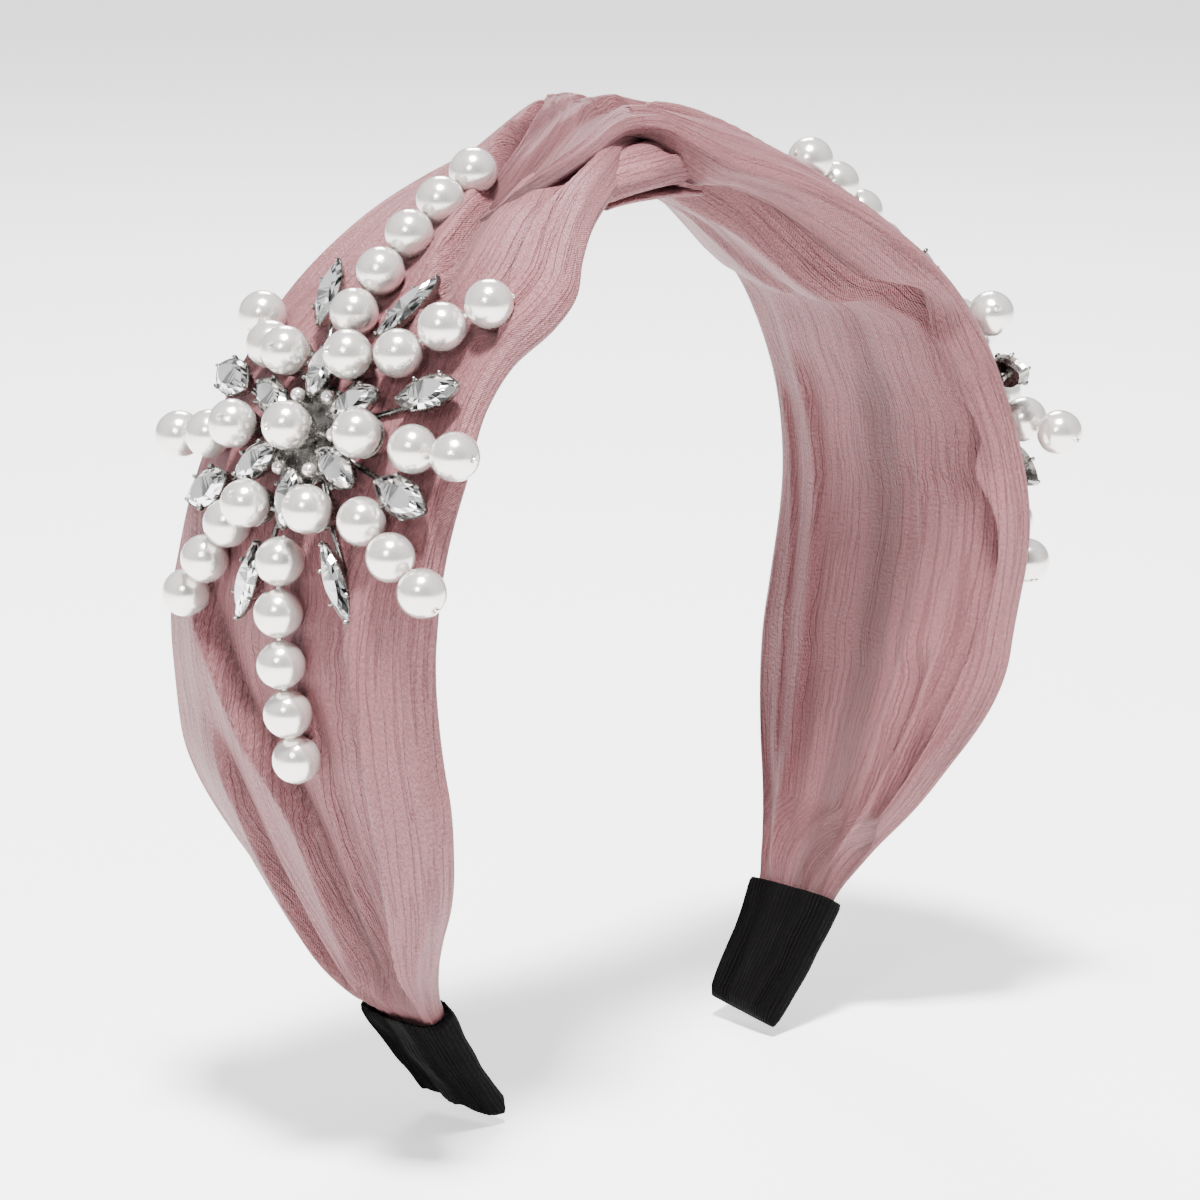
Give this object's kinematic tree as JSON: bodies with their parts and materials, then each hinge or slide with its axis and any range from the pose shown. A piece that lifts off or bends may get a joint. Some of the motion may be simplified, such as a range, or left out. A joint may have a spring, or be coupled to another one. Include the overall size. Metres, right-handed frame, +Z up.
{
  "type": "headband",
  "caption": "Wide twist-knot fabric headband with sprung arms, knitted end sleeves and a pearl and crystal brooch on each side.",
  "frame": {"origin": "middle of the flat lining under the crown, where the band rests on the head", "axes": "+X to the right seen from the front, which is the wearer's left, +Y to the back of the head, +Z up out of the crown"},
  "size_m": [0.1658, 0.0778, 0.1676],
  "materials": {
    "satin": "dusty pink crinkled satin",
    "core_cover": "black cloth over a sprung plastic core",
    "sleeve_knit": "black ribbed knit",
    "pearl": "pearlescent white",
    "crystal": "clear faceted crystal with a silvered back",
    "setting_metal": "silver plated, lightly aged"
  },
  "bodies": {
    "crown": {"crown_core": "core_cover", "crown_lining": "satin", "knot_over_band": "satin", "knot_under_fold": "satin"},
    "left_arm": {"left_brooch_setting": "setting_metal", "left_centre_pearl": "pearl", "left_core": "core_cover", "left_end_sleeve": "sleeve_knit", "left_fabric_leg": "satin", "left_navette_at_1": "crystal", "left_navette_at_10": "crystal", "left_navette_at_11": "crystal", "left_navette_at_2": "crystal", "left_navette_at_4": "crystal", "left_navette_at_5": "crystal", "left_navette_at_7": "crystal", "left_navette_at_8": "crystal", "left_pearl_string_at_1": "pearl", "left_pearl_string_at_10": "pearl", "left_pearl_string_at_12": "pearl", "left_pearl_string_at_3": "pearl", "left_pearl_string_at_4": "pearl", "left_pearl_string_at_6": "pearl", "left_pearl_string_at_7": "pearl", "left_pearl_string_at_9": "pearl", "left_ring_1_pearl": "pearl", "left_ring_2_pearl": "pearl", "left_ring_3_pearl": "pearl", "left_ring_4_pearl": "pearl", "left_ring_5_pearl": "pearl", "left_ring_6_pearl": "pearl", "left_stone_flower": "crystal"},
    "right_arm": {"right_brooch_setting": "setting_metal", "right_centre_pearl": "pearl", "right_core": "core_cover", "right_end_sleeve": "sleeve_knit", "right_fabric_leg": "satin", "right_navette_at_1": "crystal", "right_navette_at_10": "crystal", "right_navette_at_11": "crystal", "right_navette_at_2": "crystal", "right_navette_at_4": "crystal", "right_navette_at_5": "crystal", "right_navette_at_7": "crystal", "right_navette_at_8": "crystal", "right_pearl_string_at_1": "pearl", "right_pearl_string_at_10": "pearl", "right_pearl_string_at_12": "pearl", "right_pearl_string_at_3": "pearl", "right_pearl_string_at_4": "pearl", "right_pearl_string_at_6": "pearl", "right_pearl_string_at_7": "pearl", "right_pearl_string_at_9": "pearl", "right_ring_1_pearl": "pearl", "right_ring_2_pearl": "pearl", "right_ring_3_pearl": "pearl", "right_ring_4_pearl": "pearl", "right_ring_5_pearl": "pearl", "right_ring_6_pearl": "pearl", "right_stone_flower": "crystal"}
  },
  "joints": [
    {"name": "left_arm_flex", "type": "hinge", "parent": "crown", "child": "left_arm", "pos_m": [-0.01903, 0, 0.0082], "axis": [0, 1, 0], "range_deg": [0, 14], "stiffness_Nm_per_rad": 1.3},
    {"name": "right_arm_flex", "type": "hinge", "parent": "crown", "child": "right_arm", "pos_m": [0.01903, 0, 0.0082], "axis": [0, -1, 0], "range_deg": [0, 14], "stiffness_Nm_per_rad": 1.3}
  ]
}
